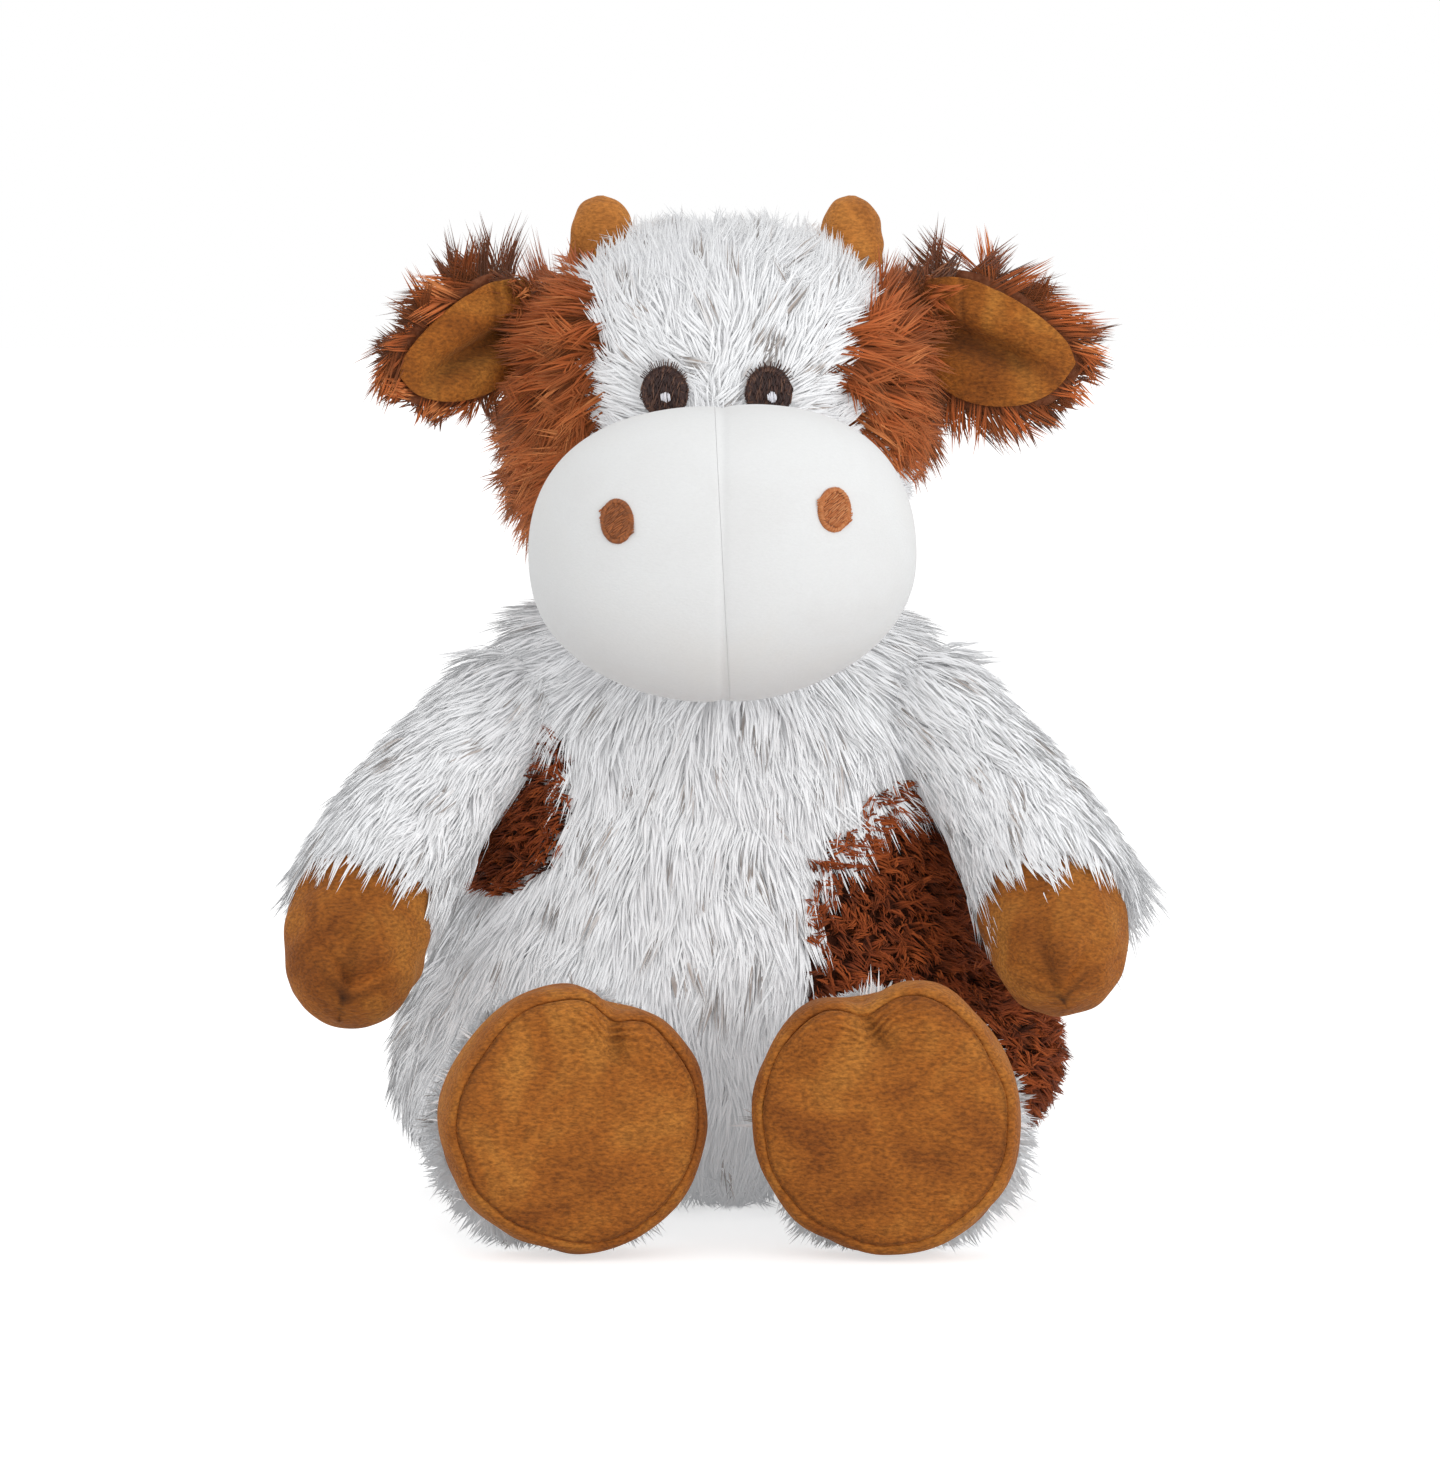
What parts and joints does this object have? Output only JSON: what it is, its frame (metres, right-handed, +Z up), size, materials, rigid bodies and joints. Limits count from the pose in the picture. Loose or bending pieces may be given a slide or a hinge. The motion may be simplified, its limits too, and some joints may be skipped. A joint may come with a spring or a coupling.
{
  "type": "plush cow",
  "caption": "Seated soft toy cow in long frosted white fur with brown patches, velour muzzle, horns, ear linings and hooves, and a weighted seat.",
  "frame": {"origin": "on the floor, in the middle of the torso's flat seat", "axes": "+Z up, the cow looks along -Y, its own left is +X"},
  "size_m": [0.2068, 0.1882, 0.248],
  "materials": {
    "white_fur": "long frosted plush pile",
    "brown_fur": "long rust-brown plush pile",
    "tan_velour": "short-nap velour",
    "white_velour": "smooth short-nap velour",
    "eye_thread": "satin-stitch embroidery",
    "glint_thread": "satin-stitch embroidery",
    "nostril_thread": "satin-stitch embroidery",
    "stuffing": "polyester fibre fill",
    "bead_linen": "plain-weave linen bag filled with grain"
  },
  "bodies": {
    "torso": {"torso_skin": "white_fur", "flank_patch_left": "brown_fur", "flank_patch_right": "brown_fur", "torso_filling": "stuffing", "bead_bag": "bead_linen"},
    "neck": {"neck_filling": "stuffing"},
    "head": {"head_skin": "white_fur", "cheek_patch_left": "brown_fur", "cheek_patch_right": "brown_fur", "head_filling": "stuffing", "horn_left": "tan_velour", "horn_right": "tan_velour", "muzzle_filling": "stuffing", "muzzle_panel_left": "white_velour", "nostril_left": "nostril_thread", "eye_left": "eye_thread", "eye_glint_left": "glint_thread", "muzzle_panel_right": "white_velour", "nostril_right": "nostril_thread", "eye_right": "eye_thread", "eye_glint_right": "glint_thread"},
    "ear_left": {"ear_back_left": "brown_fur", "ear_lining_left": "tan_velour"},
    "ear_right": {"ear_back_right": "brown_fur", "ear_lining_right": "tan_velour"},
    "arm_left": {"arm_sleeve_left": "white_fur", "hand_hoof_left": "tan_velour", "arm_filling_left": "stuffing"},
    "arm_right": {"arm_sleeve_right": "white_fur", "hand_hoof_right": "tan_velour", "arm_filling_right": "stuffing"},
    "leg_left": {"leg_sleeve_left": "white_fur", "foot_band_left": "tan_velour", "foot_sole_left": "tan_velour", "leg_filling_left": "stuffing"},
    "leg_right": {"leg_sleeve_right": "white_fur", "foot_band_right": "tan_velour", "foot_sole_right": "tan_velour", "leg_filling_right": "stuffing"},
    "tail": {"tail": "white_fur", "tail_tuft": "brown_fur"}
  },
  "joints": [
    {"name": "neck_turn", "type": "hinge", "parent": "torso", "child": "neck", "pos_m": [0, 0.002, 0.146], "axis": [0, 0, 1], "range_deg": [-20, 20], "stiffness_Nm_per_rad": 0.05},
    {"name": "head_nod", "type": "hinge", "parent": "neck", "child": "head", "pos_m": [0, 0.002, 0.146], "axis": [-1, 0, 0], "range_deg": [0, 12]},
    {"name": "ear_left_flap", "type": "hinge", "parent": "head", "child": "ear_left", "pos_m": [0.05, 0.002, 0.216], "axis": [0, -1, 0], "range_deg": [-15, 15], "stiffness_Nm_per_rad": 0.02},
    {"name": "ear_right_flap", "type": "hinge", "parent": "head", "child": "ear_right", "pos_m": [-0.05, 0.002, 0.216], "axis": [0, 1, 0], "range_deg": [-15, 15], "stiffness_Nm_per_rad": 0.02},
    {"name": "arm_left_lift", "type": "hinge", "parent": "torso", "child": "arm_left", "pos_m": [0.044, -0.006, 0.126], "axis": [-0.342, -0.9397, 0], "range_deg": [0, 60]},
    {"name": "arm_right_lift", "type": "hinge", "parent": "torso", "child": "arm_right", "pos_m": [-0.044, -0.006, 0.126], "axis": [-0.342, 0.9397, 0], "range_deg": [0, 60]},
    {"name": "leg_left_lift", "type": "hinge", "parent": "torso", "child": "leg_left", "pos_m": [0.04, -0.05, 0.0296], "axis": [-1, 0, 0], "range_deg": [-12, 30]},
    {"name": "leg_right_lift", "type": "hinge", "parent": "torso", "child": "leg_right", "pos_m": [-0.04, -0.05, 0.0296], "axis": [-1, 0, 0], "range_deg": [-12, 30]},
    {"name": "tail_lift", "type": "hinge", "parent": "torso", "child": "tail", "pos_m": [0, 0.057, 0.046], "axis": [1, 0, 0], "range_deg": [0, 70]}
  ]
}
